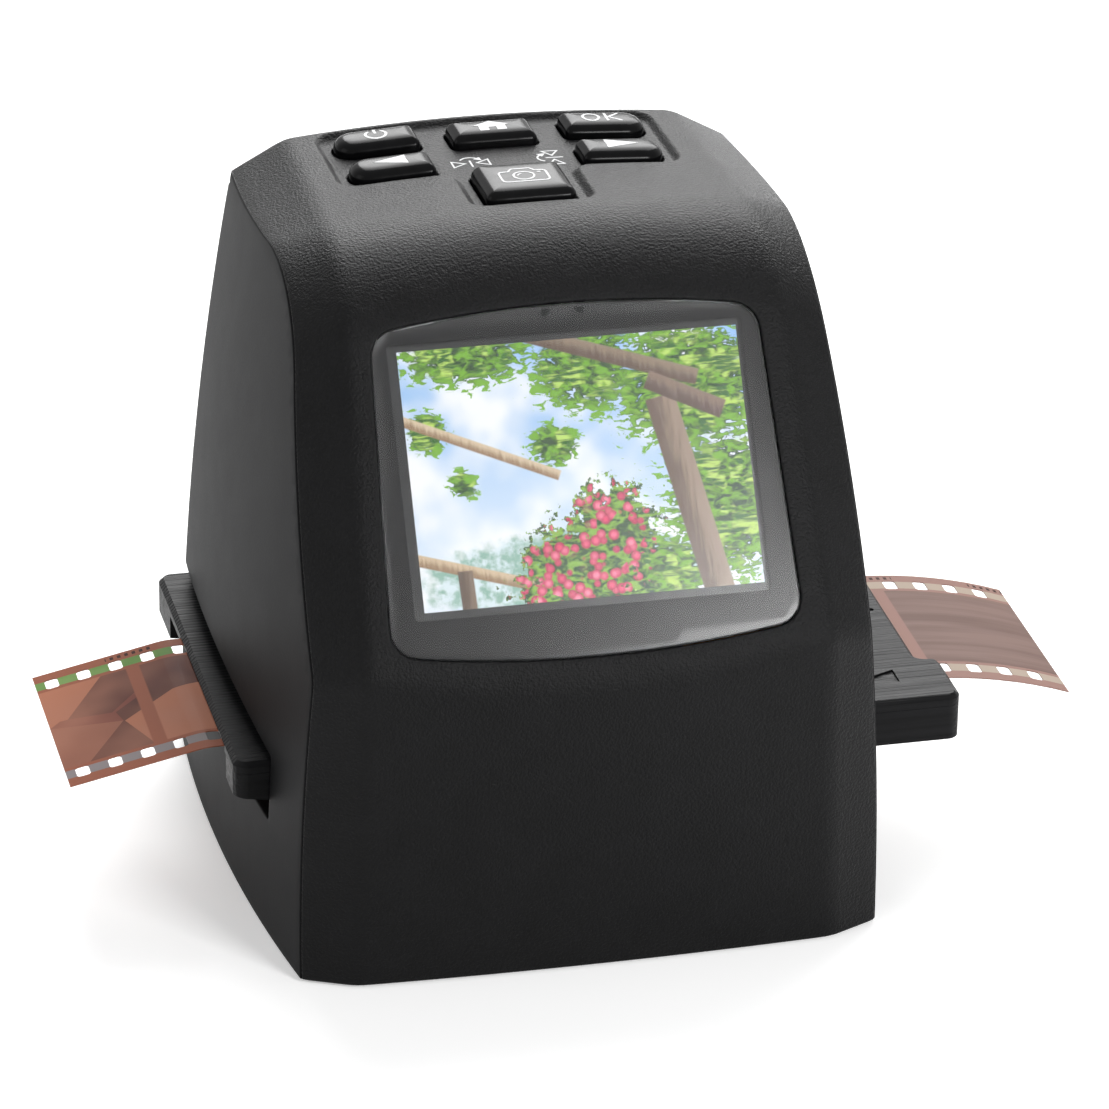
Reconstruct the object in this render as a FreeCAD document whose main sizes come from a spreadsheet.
"""Film negative scanner: a desktop copier for 35 mm film strips.

A black plastic case with a leaning screen and six keys on its top, a film tray that slides
through a slot low in both sides, and a camera that looks down at the film over a lamp.

Frame: X to the right, Y to the back, Z up, in millimetres. The origin is under the middle of
the whole scanner with its tray and film, on the table. Pieces are drawn in the case's own
frame, where X = 0 is the case's middle plane and Z = 0 the case's bottom edge.
"""
import FreeCAD, Part

import os
from math import atan2, cos, degrees, hypot, sin, sqrt
from types import SimpleNamespace

import Sketcher

Vector = FreeCAD.Vector

# Driving dimensions in millimetres. Names ending in share or shares are plain shares.
SIZES = {
    # Case: side walls, back wall and what is common to all of it
    "case_half_width": 46.6, "side_plan_radius": 316.0, "side_rise_radius": 515.0,
    "side_widest_y": 12.0, "case_back_y": 44.84, "case_top_back_y": 38.2,
    "corner_start_y": 36.2, "corner_inner_radius": 0.8, "wall": 2.2, "seam_gap": 0.12,
    "overrun": 20.0, "foot_drop": 0.8,
    # Case: inner edge of the front and top face, where the slanted side band starts
    "front_y": -43.0, "crease_y": -42.9, "crease_height": 48.2, "shoulder_y": -12.1,
    "shoulder_height": 98.4, "top_back_height": 97.0, "back_lip": 0.8,
    "back_lip_run": 14.0, "back_lip_fall": 16.7,
    # Case: how far the middle of the front and top face stands from that edge
    "front_bow": 0.9, "crease_bow": 2.0, "crease_dip": 2.7, "shoulder_set_back": 0.7,
    "shoulder_crown": 1.3, "back_crown": 1.5,
    # Case: depth of the slanted side band, from its inner to its outer edge
    "band_front_depth": 3.5, "band_crease_depth": 3.8, "band_crease_dip": 1.8,
    "band_shoulder_depth": 1.9, "band_shoulder_dip": 2.5, "band_back_dip": 4.1,
    "edge_in": 11.7, "edge_in_back": 14.35, "edge_in_top": 15.0,
    "rim_in": 4.1, "rim_in_back": 6.2, "rim_in_top": 8.3, "band_reach_share": 1.7,
    # Case: roundings of the crease, the shoulder and the top's back edge
    "crease_radius": 10.0, "crease_edge_radius": 6.0, "shoulder_radius": 20.0,
    "shoulder_edge_radius": 22.5, "shoulder_rim_radius": 24.0, "back_edge_radius": 2.5,
    "smallest_radius": 0.5, "top_seam_drop": 0.4,
    # Screen window, measured up the leaning face from the crease
    "screen_rise": 11.75, "screen_width": 48.96, "screen_height": 36.72,
    "window_low_half": 29.53, "window_top_half": 27.76, "window_low": -5.6,
    "window_low_middle": -8.1, "window_top": 39.4, "window_top_middle": 41.75,
    "window_corner": 4.0, "window_thick": 1.2, "window_seat": 1.3, "window_gap": 0.12,
    "ledge": 0.8, "screen_margin": 1.9,
    # Display module behind the window
    "panel_side_margin": 4.0, "panel_end_margin": 3.1, "panel_thick": 2.2, "panel_gap": 0.2,
    "bezel_wall": 0.7, "bezel_back": 0.5, "bezel_fit": 0.1, "bezel_lip": 0.3,
    "module_clearance": 0.9, "ear_reach": 4.3, "ear_width": 5.0, "ear_thick": 0.8,
    "ear_low": 4.0, "ear_high": 33.0, "ear_screw_in": 1.9,
    # Key field: sunken floor of the six keys on the top
    "field_depth": 0.6, "field_half_width": 25.3, "field_back_y": 36.3, "field_front_y": 14.3,
    "field_tongue_half": 9.0, "field_tongue_front_y": 0.7, "field_corner": 3.0,
    "tongue_corner": 2.0,
    # Keys
    "side_key_x": 17.0, "side_key_width": 12.3, "side_key_depth": 6.8,
    "back_row_y": 30.2, "middle_row_y": 19.0, "home_key_y": 28.9, "home_key_width": 12.6,
    "home_key_depth": 6.9, "capture_key_y": 8.0, "capture_key_width": 13.2,
    "capture_key_depth": 12.2, "key_corner": 1.0, "capture_corner": 1.3,
    "key_round_share": 0.9, "key_gap": 0.25, "key_proud": 1.8, "key_shoulder": 0.7,
    "key_bevel": 1.1, "key_flange": 0.8, "key_flange_thick": 0.9, "key_roof_gap": 0.3,
    "key_stem_radius": 2.0,
    # Key board and switches
    "key_board_drop": 9.0, "key_board_thick": 1.2, "key_board_half": 28.0,
    "key_board_front_y": -2.0, "key_board_back_y": 35.0, "switch_side": 6.0,
    "switch_tall": 3.5, "switch_bore_radius": 1.85, "switch_bore_deep": 1.8,
    "plunger_radius": 1.7, "plunger_inside": 0.8, "plunger_tall": 1.9,
    "key_boss_radius": 1.9, "key_boss_out_x": 26.0, "key_boss_out_y": 24.6,
    "key_boss_in_x": 13.5, "key_boss_in_y": 6.0,
    # Slot through both sides for the film tray
    "slot_front_y": -24.9, "slot_back_y": 40.2, "slot_low": 18.0, "slot_front_top": 28.0,
    "slot_arch_y": 12.0, "slot_arch_top": 30.3, "slot_back_top": 29.2,
    # Film tray: hinged base and cover that clamp the strip's edges
    "tray_left": -48.8, "tray_right": 59.0, "tray_front_y": -24.3, "tray_back_y": 39.4,
    "tray_top": 27.0, "tray_thick": 7.1, "cover_thick": 1.7, "tray_joint_gap": 0.05,
    "tray_mouth_x": 55.8, "lug_back_y": -11.5, "lug_corner": 2.0, "lug_curve": 1.5,
    "ear_long": 3.3, "front_ear_wide": 6.8, "back_ear_wide": 11.4, "tray_corner": 2.0,
    "tray_bevel": 0.7, "lead_in_rise": 1.7, "lead_in_long": 12.0, "mouth_drop": 0.4,
    "mouth_long": 10.0, "gate_width": 36.6, "gate_depth": 24.8, "gate_bevel": 0.7,
    "hinge_pin_radius": 0.75, "hinge_pin_in": 1.5, "hinge_pin_long": 84.0, "hinge_fit": 0.1,
    "peg_hole_radius": 0.45, "peg_hole_x": 53.6, "peg_hole_y": 5.4, "peg_hole_deep": 0.8,
    "arrow_x": 46.6, "arrow_long": 4.6, "arrow_half": 2.0, "arrow_y": -16.4,
    "arrow_deep": 0.3,
    # Film strip
    "film_mid_y": 1.43, "film_width": 34.98, "film_thick": 0.15, "film_over_land": 0.15,
    "film_side_gap": 0.4, "film_over_gap": 0.15, "land_side": 0.9,
    "film_left": -71.1, "film_right": 78.1, "film_right_bend_x": 52.5,
    "film_right_radius": 73.0, "film_left_bend_x": -50.0, "film_left_radius": 12.0,
    "film_left_fall": 0.215, "hole_pitch": 4.75, "hole_long": 1.98, "hole_wide": 2.8,
    "hole_corner": 0.5, "hole_row": 14.09, "hole_first_in": 2.4,
    # Tray channel inside the case
    "slide_gap": 0.15, "rail_gap": 0.2, "channel_floor": 2.0, "channel_in": 5.8,
    "channel_back_in": 12.6, "channel_step_y": 35.3, "front_rail": 1.7, "back_rail": 0.8,
    "rail_over_tray": 1.0, "leg_side": 5.0, "leg_x": 28.2, "leg_front_y": -20.6,
    "leg_back_y": 26.0, "channel_window_margin": 1.4, "shroud_boss_x": 22.0,
    "shroud_boss_radius": 2.4,
    # Detent springs on the channel's front rail
    "detent_x": 32.0, "detent_long": 14.0, "detent_tall": 4.0, "detent_thick": 0.3,
    "detent_window": 4.0, "detent_tip_gap": 0.15, "detent_rise": 3.0,
    # Lamp under the film
    "lamp_side_margin": 3.7, "lamp_end_margin": 4.1, "lamp_board_end": 2.5,
    "lamp_screw_gap": 0.4, "lamp_screw_edge": 2.2, "board_thick": 1.2, "lamp_standoff": 1.9,
    "lamp_box_wall": 1.5, "diffuser_thick": 1.2, "diffuser_gap": 0.1, "led_long": 3.5,
    "led_wide": 2.8, "led_tall": 1.0, "led_pitch_x": 9.0, "led_pitch_y": 8.0,
    "standoff_radius": 2.2, "lamp_screw_in": 2.6,
    # Camera over the film
    "shroud_flange": 1.5, "shroud_flange_side": 4.0, "shroud_wall": 1.5,
    "shroud_tall": 26.5, "shroud_top_side": 18.0,
    "camera_plate_side": 34.0, "camera_plate_thick": 1.6, "camera_post_in": 3.6,
    "camera_post_radius": 2.2, "camera_post_tall": 10.4, "camera_board_side": 32.0,
    "holder_side": 15.0, "holder_tall": 8.0, "holder_wall": 1.9, "sensor_long": 7.0,
    "sensor_wide": 5.6, "sensor_tall": 0.9, "barrel_gap": 0.03, "barrel_tall": 12.0,
    "barrel_low": 14.0, "barrel_bore": 3.6, "barrel_rim": 0.8, "lens_gap": 0.05,
    "lens_thick": 2.0, "lens_bulge": 1.0, "camera_hole_gap": 0.9,
    # Main board on the right side wall, with the sockets in the back wall
    "main_board_in": 12.0, "main_board_front_y": -6.0, "main_board_back_y": 36.3,
    "main_board_low": 33.0, "main_board_high": 80.0, "board_boss_radius": 2.4,
    "board_screw_low": 36.5, "board_screw_high": 76.0, "board_screw_front_y": 8.5,
    "board_screw_low_back_y": 27.0, "board_screw_high_back_y": 21.0,
    "card_low": 43.5, "card_tall": 28.0, "card_long": 27.0, "card_thick": 3.2,
    "card_slot_tall": 24.4, "card_slot_thick": 2.3, "card_slot_long": 24.0,
    "card_mouth_margin": 0.5, "usb_low": 34.0, "usb_tall": 7.8, "usb_thick": 3.4,
    "usb_long": 8.6, "usb_inset": 0.5, "usb_shell": 0.4, "usb_mouth_deep": 5.0,
    "usb_tongue_thick": 0.9, "usb_tongue_side": 1.3, "port_gap": 0.25,
    "jack_height": 75.5, "jack_side": 6.0, "jack_long": 11.5, "jack_nose_radius": 2.7,
    "jack_bore_radius": 1.8, "jack_bore_deep": 10.0, "jack_inset": 0.4, "port_clear": 0.3,
    "chip_side": 14.0, "chip_thick": 1.4, "small_chip_side": 9.0, "chip_y": 17.0,
    "chip_height": 50.0, "chip_pitch": 14.5, "connector_thick": 2.0, "connector_wide": 10.0,
    "connector_tall": 4.0, "connector_y": -0.5, "lcd_connector_height": 48.5,
    "camera_connector_height": 62.0, "key_connector_height": 76.0,
    # Ribbons and the lamp's lead
    "ribbon_thick": 0.3, "ribbon_wide": 8.0, "ribbon_bend": 2.0, "ribbon_seat_gap": 0.1,
    "lcd_ribbon_start_x": 14.0, "lcd_ribbon_gap": 0.35, "lcd_ribbon_low": 44.0,
    "ribbon_turn_x": 29.0, "ribbon_turn_y": -22.0, "camera_ribbon_start": 5.0,
    "camera_ribbon_turn": 24.0, "camera_ribbon_fall_x": 28.0, "key_ribbon_start_x": 20.0,
    "key_ribbon_turn_x": 27.0, "key_ribbon_fall_x": 29.5, "lead_radius": 0.6,
    # Base plate, feet and screws
    "base_thick": 2.3, "base_gap": 0.15, "front_post_x": 22.0, "front_post_y": -35.5,
    "rear_post_in": 8.6, "rear_post_y": 20.0, "post_radius": 3.0, "post_top": 14.0,
    "post_web": 1.4, "post_gap": 0.1, "foot_radius": 5.0, "foot_seat": 0.6,
    "foot_gap": 0.1, "foot_front_in": 12.6, "foot_front_y": -29.5, "foot_back_in": 13.6,
    "foot_back_y": 33.0, "vent_long": 22.0, "vent_wide": 1.8, "vent_pitch": 4.5,
    "vent_y": -34.0, "screw_radius": 1.2, "screw_head_radius": 2.4, "screw_head_tall": 1.4,
    "screw_long": 8.0, "screw_fit": 0.04, "screw_hole_gap": 0.2, "drive_radius": 1.0,
    "drive_deep": 0.7, "small_screw_radius": 0.8, "small_head_radius": 1.6,
    "small_head_tall": 1.0, "small_screw_long": 3.6, "small_drive_radius": 0.6,
    "small_drive_deep": 0.5,
}


class Term:
    """A length that knows its value and its expression over the sheet's cells."""

    def __init__(self, value, text):
        self.value, self.text = float(value), text

    def join(self, other, sign, value):
        return Term(value, f"({self.text} {sign} {other.text})")

    def __add__(self, other):
        other = term(other)
        return self.join(other, "+", self.value + other.value)

    def __sub__(self, other):
        other = term(other)
        return self.join(other, "-", self.value - other.value)

    def __mul__(self, other):
        other = term(other)
        return self.join(other, "*", self.value * other.value)

    def __truediv__(self, other):
        other = term(other)
        return self.join(other, "/", self.value / other.value)

    def __neg__(self):
        return Term(-self.value, f"(0 - {self.text})")

    def __float__(self):
        return self.value


def term(number):
    """Give a Term, also for a plain count such as 2."""
    return number if isinstance(number, Term) else Term(number, repr(number))


def make_sheet(document):
    """Write every driving dimension into the sheet, with its name as the cell's alias."""
    table = document.addObject("Spreadsheet::Sheet", "Sizes")
    for row, (alias, value) in enumerate(SIZES.items(), start=1):
        table.set(f"A{row}", alias.replace("_", " "))
        table.set(f"B{row}", str(value))
        table.setAlias(f"B{row}", alias)
    document.recompute()
    return table


doc = FreeCAD.newDocument("FilmScanner")
sheet = make_sheet(doc)
mm = SimpleNamespace(**{alias: float(sheet.get(alias)) for alias in SIZES})
d = SimpleNamespace(**{alias: Term(getattr(mm, alias), f"Sizes.{alias}") for alias in SIZES})

# Where the case's middle plane lies, so that the origin is under the middle of tray and film
mid_x = -(d.film_left + d.film_right) / 2

# Sizes that follow the case, the film gate or the lamp
board_inner = d.case_half_width - d.main_board_in
board_outer = board_inner + d.board_thick
channel_half = d.case_half_width - d.channel_in
channel_back_half = d.case_half_width - d.channel_back_in
rear_post_x = mm.case_half_width - mm.rear_post_in
foot_front_x = mm.case_half_width - mm.foot_front_in
foot_back_x = mm.case_half_width - mm.foot_back_in
lamp_box_width = d.gate_width + d.lamp_side_margin * 2
lamp_box_depth = d.gate_depth + d.lamp_end_margin * 2
lamp_screw_x = lamp_box_width / 2 + d.small_head_radius + d.lamp_screw_gap
lamp_board_width = (lamp_screw_x + d.lamp_screw_edge) * 2
lamp_board_depth = lamp_box_depth + d.lamp_board_end * 2
key_board_low = d.top_back_height - d.key_board_drop
SUBPARTS = []


# Document helpers

def bind(item, path, length):
    """Tie a property of a document object to the sheet."""
    item.setExpression(path, term(length).text)


def seat(item, label):
    """Name a sub-part and set the case's frame on the table."""
    item.Label = label
    item.Placement = FreeCAD.Placement(Vector(mid_x, 0, mm.foot_drop), FreeCAD.Rotation())
    bind(item, ".Placement.Base.x", mid_x)
    bind(item, ".Placement.Base.z", d.foot_drop)
    SUBPARTS.append(item)


def feature(label, shape):
    """Add a sub-part whose shape was worked out here."""
    item = doc.addObject("Part::Feature", label)
    item.Shape = shape
    seat(item, label)
    return item


def body(label):
    item = doc.addObject("PartDesign::Body", label)
    seat(item, label)
    return item


def sketch(owner, name, height, role="XY_Plane"):
    """Add a sketch on an origin plane of its own body, lifted to a height."""
    plane = [item for item in owner.Origin.OriginFeatures if item.Role == role][0]
    drawing = owner.newObject("Sketcher::SketchObject", name)
    drawing.AttachmentSupport = (plane, "")
    drawing.MapMode = "FlatFace"
    bind(drawing, ".AttachmentOffset.Base.z", height)
    return drawing


def pin_point(drawing, element, end, x, y):
    """Hold one point of a sketch at a place given by the sheet."""
    for kind, place in (("DistanceX", x), ("DistanceY", y)):
        place = term(place)
        if place.value == 0 and place.text in ("0", "0.0"):
            pair = (element, end, -2) if kind == "DistanceX" else (element, end, -1)
            drawing.addConstraint(Sketcher.Constraint("PointOnObject", *pair))
            continue
        index = drawing.addConstraint(Sketcher.Constraint(kind, -1, 1, element, end,
                                                          place.value))
        drawing.setExpression(f"Constraints[{index}]", place.text)


def draw_polygon(drawing, corners):
    """Draw a closed outline of straight lines with every corner held by the sheet."""
    first = drawing.GeometryCount
    count = len(corners)
    for number, (x, y) in enumerate(corners):
        after = corners[(number + 1) % count]
        drawing.addGeometry(Part.LineSegment(Vector(x, y, 0), Vector(after[0], after[1], 0)))
    for number, (x, y) in enumerate(corners):
        before = first + (number - 1) % count
        drawing.addConstraint(Sketcher.Constraint("Coincident", before, 2, first + number, 1))
        pin_point(drawing, first + number, 1, x, y)


def draw_box(drawing, x_low, x_high, y_low, y_high):
    draw_polygon(drawing, [(x_low, y_low), (x_high, y_low), (x_high, y_high),
                           (x_low, y_high)])


def draw_circle(drawing, x, y, radius):
    radius = term(radius)
    place = Vector(x, y, 0)
    index = drawing.addGeometry(Part.Circle(place, Vector(0, 0, 1), radius.value))
    pin_point(drawing, index, 3, x, y)
    size = drawing.addConstraint(Sketcher.Constraint("Radius", index, radius.value))
    drawing.setExpression(f"Constraints[{size}]", radius.text)


def pad(owner, drawing, height):
    item = owner.newObject("PartDesign::Pad", drawing.Name + "Pad")
    item.Profile = drawing
    bind(item, "Length", height)
    return item


def pocket(owner, drawing, deep):
    """Cut a sketch down from its plane."""
    item = owner.newObject("PartDesign::Pocket", drawing.Name + "Pocket")
    item.Profile = drawing
    bind(item, "Length", deep)
    return item


def block_pad(owner, name, x_low, x_high, y_low, y_high, low, high):
    drawing = sketch(owner, name, low)
    draw_box(drawing, x_low, x_high, y_low, y_high)
    return pad(owner, drawing, high - low)


def block_pocket(owner, name, x_low, x_high, y_low, y_high, low, high):
    drawing = sketch(owner, name, high)
    draw_box(drawing, x_low, x_high, y_low, y_high)
    return pocket(owner, drawing, high - low)


def upright_edges(item, picks):
    """Name the edges along Z whose places, to the nearest, are in picks."""
    names = []
    for x, y in picks:
        best, name = None, None
        for number, edge in enumerate(item.Tip.Shape.Edges, start=1):
            if len(edge.Vertexes) != 2:
                continue
            top, foot = edge.Vertexes[0].Point, edge.Vertexes[1].Point
            if hypot(top.x - foot.x, top.y - foot.y) > mm.film_thick:
                continue
            away = hypot(foot.x - float(x), foot.y - float(y))
            if best is None or away < best:
                best, name = away, f"Edge{number}"
        names.append(name)
    return names


# Shape helpers

def box(x_low, x_high, y_low, y_high, low, high):
    x_low, x_high, y_low, y_high, low, high = map(
        float, (x_low, x_high, y_low, y_high, low, high))
    return Part.makeBox(x_high - x_low, y_high - y_low, high - low,
                        Vector(x_low, y_low, low))


def rod(x, y, low, high, radius):
    return Part.makeCylinder(float(radius), float(high) - float(low),
                             Vector(x, y, low), Vector(0, 0, 1))


def unit(x, y):
    size = hypot(x, y)
    return x / size, y / size


def meet(first, second):
    """Give the point where two lines in a plane cross, each a pair of points."""
    (ax, ay), (bx, by) = first
    (cx, cy), (ex, ey) = second
    spread = (ax - bx) * (cy - ey) - (ay - by) * (cx - ex)
    one, two = ax * by - ay * bx, cx * ey - cy * ex
    return ((one * (cx - ex) - (ax - bx) * two) / spread,
            (one * (cy - ey) - (ay - by) * two) / spread)


def round_corner(before, corner, after, radius):
    """Give the start, middle and end of the arc that rounds a corner."""
    u = unit(before[0] - corner[0], before[1] - corner[1])
    w = unit(after[0] - corner[0], after[1] - corner[1])
    cosine = u[0] * w[0] + u[1] * w[1]
    half_sine, half_cosine = sqrt((1 - cosine) / 2), sqrt((1 + cosine) / 2)
    back = radius * half_cosine / half_sine
    b = unit(u[0] + w[0], u[1] + w[1])
    deep = radius / half_sine - radius
    return [(corner[0] + u[0] * back, corner[1] + u[1] * back),
            (corner[0] + b[0] * deep, corner[1] + b[1] * deep),
            (corner[0] + w[0] * back, corner[1] + w[1] * back)]


def outline(corners, radii, lift):
    """Make a closed wire from corners in a plane; lift turns a plane point into a place."""
    corners = [(float(x), float(y)) for x, y in corners]
    count = len(corners)
    arcs = [round_corner(corners[k - 1], corners[k], corners[(k + 1) % count], float(radii[k]))
            if float(radii[k]) > 0 else None for k in range(count)]
    edges = []
    for k in range(count):
        after = (k + 1) % count
        if arcs[k]:
            start, middle, end = (lift(*point) for point in arcs[k])
            edges.append(Part.Arc(start, middle, end).toShape())
        leave = arcs[k][2] if arcs[k] else corners[k]
        arrive = arcs[after][0] if arcs[after] else corners[after]
        edges.append(Part.LineSegment(lift(*leave), lift(*arrive)).toShape())
    return Part.Wire(edges)


def flat(height):
    """Lift plan points to one height."""
    return lambda x, y: Vector(x, y, float(height))


def prism(corners, radii, low, high):
    face = Part.Face(outline(corners, radii, flat(low)))
    return face.extrude(Vector(0, 0, float(high) - float(low)))


def frame_corners(x, y, width, depth):
    """Give the four corners of a rectangle about its middle."""
    x, y, half, deep = float(x), float(y), float(width) / 2, float(depth) / 2
    return [(x - half, y - deep), (x + half, y - deep), (x + half, y + deep),
            (x - half, y + deep)]


def both_sides(make):
    """Join what make draws at the right and at the left of the middle plane."""
    return make(1).fuse(make(-1))


# The case's outer form

def front_profile(bow_share, band_share):
    """Side view of the front and top face, from the front's foot to the back.

    bow_share is 1 at the middle plane and 0 at the band's inner edge. band_share is 0 at that
    edge and 1 at the band's outer edge, and may go past it.
    """
    foot = mm.front_y - bow_share * mm.front_bow + band_share * mm.band_front_depth
    crease = (mm.crease_y - bow_share * mm.crease_bow + band_share * mm.band_crease_depth,
              mm.crease_height - bow_share * mm.crease_dip - band_share * mm.band_crease_dip)
    shoulder = (mm.shoulder_y + bow_share * mm.shoulder_set_back
                + band_share * mm.band_shoulder_depth,
                mm.shoulder_height + bow_share * mm.shoulder_crown
                - band_share * mm.band_shoulder_dip)
    back = (mm.case_top_back_y - mm.back_lip,
            mm.top_back_height + bow_share * mm.back_crown - band_share * mm.band_back_dip)
    radii = (mm.crease_edge_radius + bow_share * (mm.crease_radius - mm.crease_edge_radius),
             mm.shoulder_edge_radius
             + bow_share * (mm.shoulder_radius - mm.shoulder_edge_radius)
             + band_share * (mm.shoulder_rim_radius - mm.shoulder_edge_radius),
             mm.back_edge_radius)
    return [(foot, 0.0), crease, shoulder, back], radii


def set_in(corners, radii, inset, low):
    """Move the profile's faces inwards and close it at a low level behind the back wall."""
    foot, crease, shoulder, back = corners
    tail = (back[0] + mm.back_lip_run, back[1] - mm.back_lip_fall)
    faces = []
    for start, end in ((foot, crease), (crease, shoulder), (shoulder, back), (back, tail)):
        ux, uy = unit(end[0] - start[0], end[1] - start[1])
        push = (uy * inset, -ux * inset)
        faces.append(((start[0] + push[0], start[1] + push[1]),
                      (end[0] + push[0], end[1] + push[1])))
    floor = ((mm.front_y, low), (mm.case_back_y, low))
    tail = faces[3][1]
    points = [meet(floor, faces[0]), meet(faces[0], faces[1]), meet(faces[1], faces[2]),
              meet(faces[2], faces[3]), tail, (tail[0], low)]
    kept = [max(radius - inset, mm.smallest_radius) for radius in radii]
    return points, [0.0, *kept, 0.0, 0.0]


def slant(front_in, back_in, top_in):
    """Give the tilted plane of a band edge as a function of Y and height."""
    deep = mm.case_back_y - mm.front_y

    def place(y, height):
        along = (y - mm.front_y) / deep
        return (mm.case_half_width - front_in - along * (back_in - front_in)
                - height / mm.top_back_height * (top_in - front_in))
    return place


edge_plane = slant(mm.edge_in, mm.edge_in_back, mm.edge_in_top)
rim_plane = slant(mm.rim_in, mm.rim_in_back, mm.rim_in_top)


def reach_plane(y, height):
    """Give a plane outside the side walls, on the band carried on past its outer edge."""
    inner = edge_plane(y, height)
    return inner + mm.band_reach_share * (rim_plane(y, height) - inner)


def profile_wire(bow_share, band_share, inset, low, plane, side):
    corners, radii = front_profile(bow_share, band_share)
    points, rounds = set_in(corners, radii, inset, low)
    return outline(points, rounds, lambda y, z: Vector(side * plane(y, z), y, z))


def back_wall_y(height):
    lean = (mm.case_back_y - mm.case_top_back_y) / mm.top_back_height
    return mm.case_back_y - lean * height


def side_plan(height, inset):
    """Plan section of the sides and the back at one height, bowed sides, rounded corners."""
    radius = mm.side_plan_radius - inset
    centre_x = (mm.case_half_width - height * height / (2 * mm.side_rise_radius) - inset
                - radius)
    centre_y = mm.side_widest_y
    back = back_wall_y(height) - inset
    corner = max(back_wall_y(height) - mm.corner_start_y - inset, mm.corner_inner_radius)
    round_y = back - corner
    round_x = centre_x + sqrt((radius - corner) ** 2 - (round_y - centre_y) ** 2)
    out = unit(round_x - centre_x, round_y - centre_y)
    end = (centre_x + out[0] * radius, centre_y + out[1] * radius)
    halfway = unit(out[0], out[1] + 1)
    bend = (round_x + halfway[0] * corner, round_y + halfway[1] * corner)

    def on_side(y):
        return centre_x + sqrt(radius * radius - (y - centre_y) ** 2), y
    start = on_side(mm.front_y - mm.overrun)
    middle = on_side((start[1] + end[1]) / 2)

    def at(point, side):
        return Vector(side * point[0], point[1], height)
    back_end = (round_x, back)
    pieces = [Part.Arc(at(start, 1), at(middle, 1), at(end, 1)),
              Part.Arc(at(end, 1), at(bend, 1), at(back_end, 1)),
              Part.LineSegment(at(back_end, 1), at(back_end, -1)),
              Part.Arc(at(back_end, -1), at(bend, -1), at(end, -1)),
              Part.Arc(at(end, -1), at(middle, -1), at(start, -1)),
              Part.LineSegment(at(start, -1), at(start, 1))]
    return Part.Wire([piece.toShape() for piece in pieces])


def case_solid(inset, low):
    """Make the case's full form, moved inwards by inset, with its floor at a low level."""
    middle = profile_wire(1, 0, inset, low, lambda y, z: 0.0, 1)
    right, left = (profile_wire(0, 0, inset, low, edge_plane, side) for side in (1, -1))
    reach = mm.band_reach_share
    far_right, far_left = (profile_wire(0, reach, inset, low, reach_plane, side)
                           for side in (1, -1))
    crown = Part.makeLoft([left, middle, right], True, False)
    bands = [Part.makeLoft([right, far_right], True, True),
             Part.makeLoft([far_left, left], True, True)]
    half_rise = (mm.top_back_height + 2 * mm.overrun) / 2
    levels = [k * half_rise - mm.overrun for k in range(3)]
    sides = Part.makeLoft([side_plan(level, inset) for level in levels], True, False)
    return crown.fuse(bands).common(sides)


def front_zone(grow):
    """Space of the front shell: between the band's outer edges, and over the back wall."""
    def slab(y_of, low, high):
        wires = []
        for height in (low, high):
            corners = [(side * (rim_plane(y, height) + grow), y)
                       for y, side in ((mm.front_y - mm.overrun, -1),
                                       (mm.front_y - mm.overrun, 1),
                                       (y_of(height), 1), (y_of(height), -1))]
            wires.append(outline(corners, [0] * 4, flat(height)))
        return Part.makeLoft(wires, True, True)
    top = mm.top_back_height + mm.overrun
    seam = mm.top_back_height - mm.wall - mm.top_seam_drop - grow
    back_seam = back_wall_y(seam) - mm.wall - mm.seam_gap + grow
    lean = (back_seam - mm.corner_start_y + mm.wall) / (seam + mm.overrun)
    inner = slab(lambda z: back_seam + lean * (z - seam), -mm.overrun, top)
    roof = slab(lambda z: mm.case_back_y + mm.overrun, seam, top)
    return inner.fuse(roof)


def top_height(x, y):
    """Height of the case's top face at a place in plan."""
    share = (y - mm.shoulder_y) / (mm.case_top_back_y - mm.back_lip - mm.shoulder_y)
    edge = mm.shoulder_height + share * (mm.top_back_height - mm.shoulder_height)
    crown = mm.shoulder_crown + share * (mm.back_crown - mm.shoulder_crown)
    return edge + crown * (1 - (x / edge_plane(y, edge)) ** 2)


outer_form = case_solid(0.0, 0.0)
inner_form = case_solid(mm.wall, -mm.overrun)
half_form = case_solid(mm.wall / 2, -mm.overrun)
plain_shell = outer_form.cut(inner_form)


def anchored(shape):
    """Trim what is moulded onto the inside of the wall, so that it ends within the wall."""
    return shape.common(half_form)


# The leaning screen face and its own frame

crease_mid, shoulder_mid = front_profile(1, 0)[0][1:3]
face_up = unit(shoulder_mid[0] - crease_mid[0], shoulder_mid[1] - crease_mid[1])
screen_origin = (crease_mid[0] + face_up[0] * mm.screen_rise,
                 crease_mid[1] + face_up[1] * mm.screen_rise)
SCREEN_LEAN = degrees(atan2(face_up[0], face_up[1]))


def on_screen(x, up, out):
    """Turn a place on the screen face into the case's frame: across, up the face, outwards."""
    return Vector(float(x),
                  screen_origin[0] + face_up[0] * float(up) - face_up[1] * float(out),
                  screen_origin[1] + face_up[1] * float(up) + face_up[0] * float(out))


def screen_block(x_low, x_high, up_low, up_high, out_low, out_high):
    """Make a box in the screen face's frame."""
    corners = [(x_low, up_low), (x_high, up_low), (x_high, up_high), (x_low, up_high)]
    face = Part.Face(outline(corners, [0] * 4, lambda x, up: on_screen(x, up, out_low)))
    return face.extrude(on_screen(0, 0, out_high) - on_screen(0, 0, out_low))


def screen_rod(x, up, out_low, out_high, radius):
    axis = on_screen(0, 0, 1) - on_screen(0, 0, 0)
    return Part.makeCylinder(float(radius), float(out_high) - float(out_low),
                             on_screen(x, up, out_low), axis)


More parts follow.
